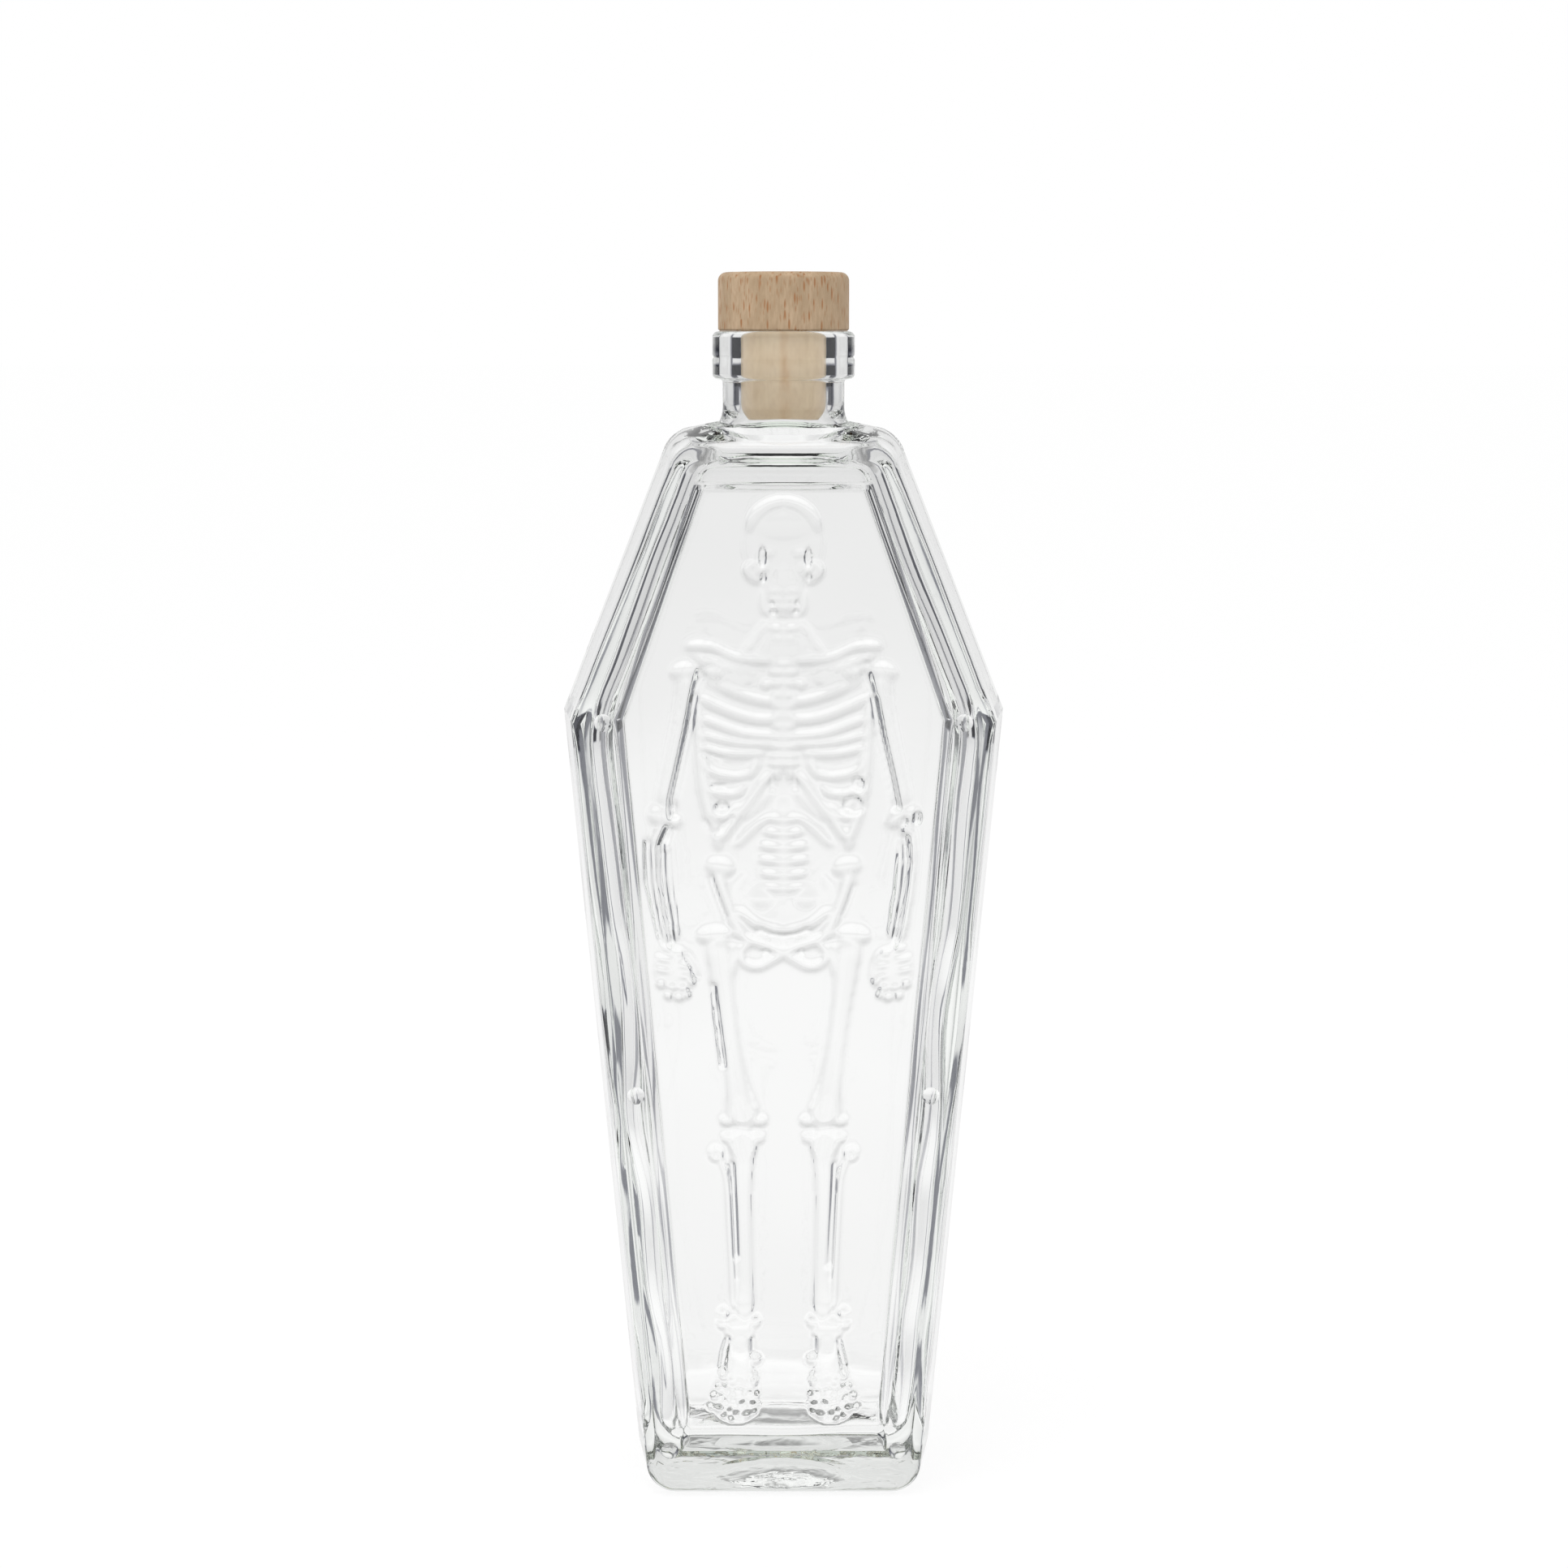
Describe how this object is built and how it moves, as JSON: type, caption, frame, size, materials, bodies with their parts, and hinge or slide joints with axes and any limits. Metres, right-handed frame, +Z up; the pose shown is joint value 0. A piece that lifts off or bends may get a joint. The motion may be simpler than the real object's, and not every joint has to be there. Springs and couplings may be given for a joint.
{
  "type": "poison bottle",
  "caption": "Coffin-shaped clear glass bottle with a framed front panel and a round neck, closed by a lift-out stopper with a turned wooden head on a smooth shank.",
  "frame": {"origin": "middle of the underside of the bottle, on the surface that it stands on", "axes": "+Z up through the neck, -Y towards the framed relief panel at the front, +X to the viewer's right"},
  "size_m": [0.0996, 0.0457, 0.2756],
  "materials": {
    "clear_glass": "fire-polished clear flint glass with a faint green cast in thick places",
    "stopper_cork": "smooth fine-grained synthetic cork, matt",
    "beech_wood": "turned and sanded beech, untreated, with short brown flecks"
  },
  "bodies": {
    "bottle": {"glass_bottle": "clear_glass"},
    "stopper": {"stopper_shank": "stopper_cork", "wooden_head": "beech_wood"}
  },
  "joints": [
    {"name": "stopper_lift", "type": "slide", "parent": "bottle", "child": "stopper", "axis": [0, 0, 1], "range_m": [0, 0.04]}
  ]
}
